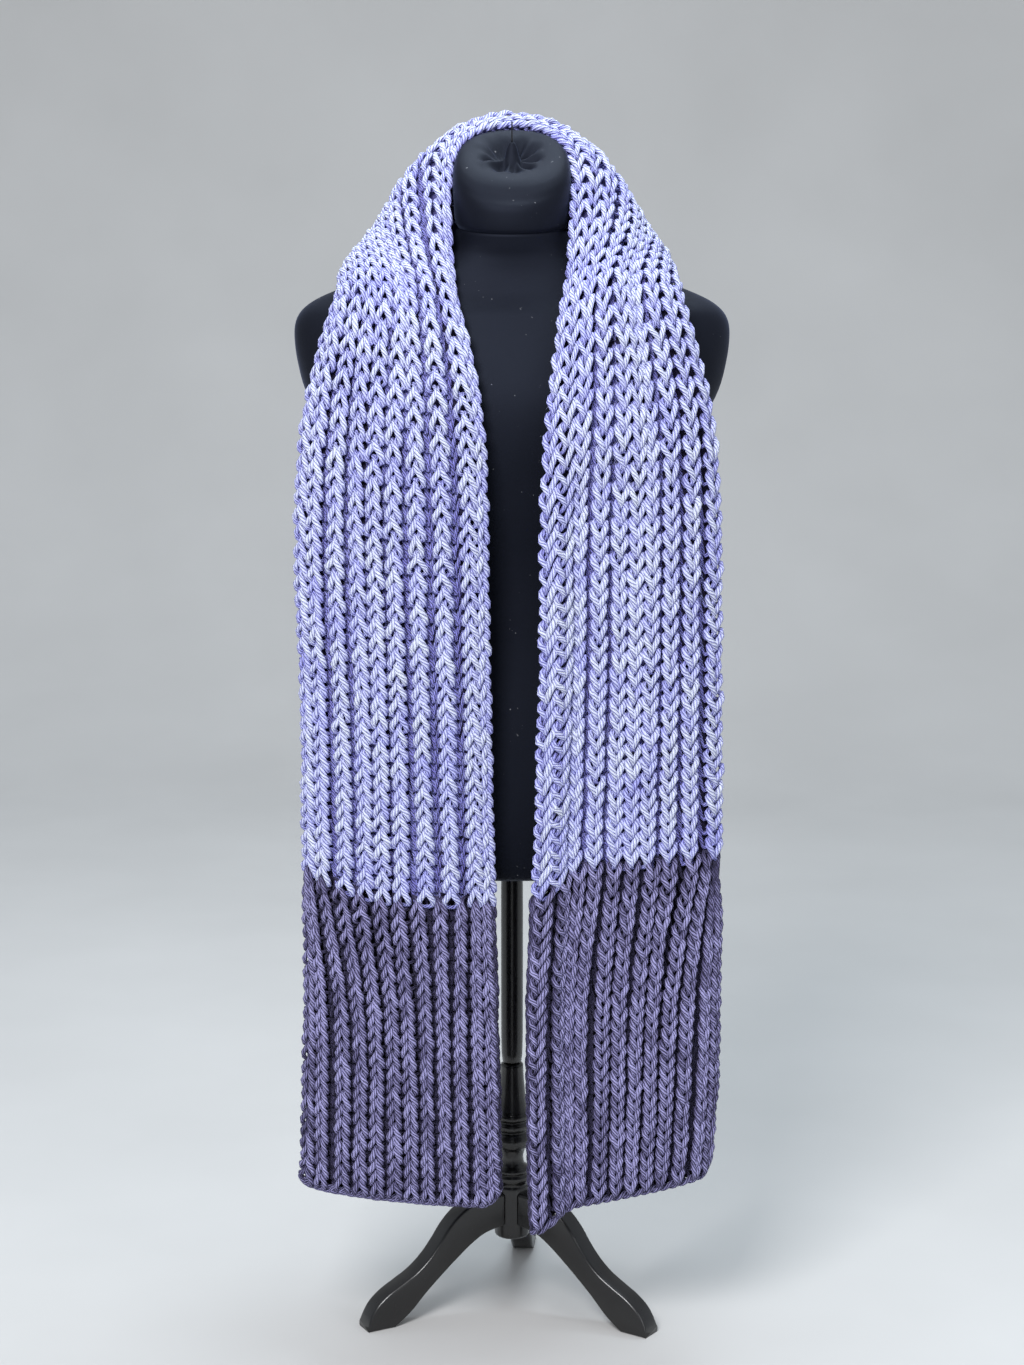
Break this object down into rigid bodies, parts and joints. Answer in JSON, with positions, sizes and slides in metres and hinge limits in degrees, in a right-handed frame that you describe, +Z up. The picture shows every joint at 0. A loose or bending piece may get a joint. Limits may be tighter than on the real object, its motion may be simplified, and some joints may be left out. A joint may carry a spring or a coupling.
{
  "type": "knit scarf on dress form",
  "caption": "Long rib-knit scarf with dark ends, draped behind the neck of a limbless dress form on a turned three-legged stand.",
  "frame": {"origin": "middle of the footprint of the whole object, at floor level", "axes": "+Z up, -Y towards the viewer of the front, +X to the right seen from the front"},
  "size_m": [0.399, 0.3102, 1.1346],
  "materials": {
    "lilac_yarn": "plied chunky yarn, soft sheen and a light halo of fibre",
    "dark_yarn": "the same plied yarn in dark purple grey",
    "black_jersey": "stretched black jersey cover",
    "black_paint": "satin black painted wood",
    "pin_steel": "dark steel pin"
  },
  "bodies": {
    "root": {"scarf_neck": "lilac_yarn", "scarf_left_front": "lilac_yarn", "scarf_right_front": "lilac_yarn", "scarf_left_end": "dark_yarn", "scarf_right_end": "dark_yarn", "form_body": "black_jersey", "form_neck_cap": "black_jersey", "cap_pin": "pin_steel", "stand_pole": "black_paint", "stand_post": "black_paint", "leg_left": "black_paint", "leg_right": "black_paint", "leg_back": "black_paint"}
  },
  "joints": []
}
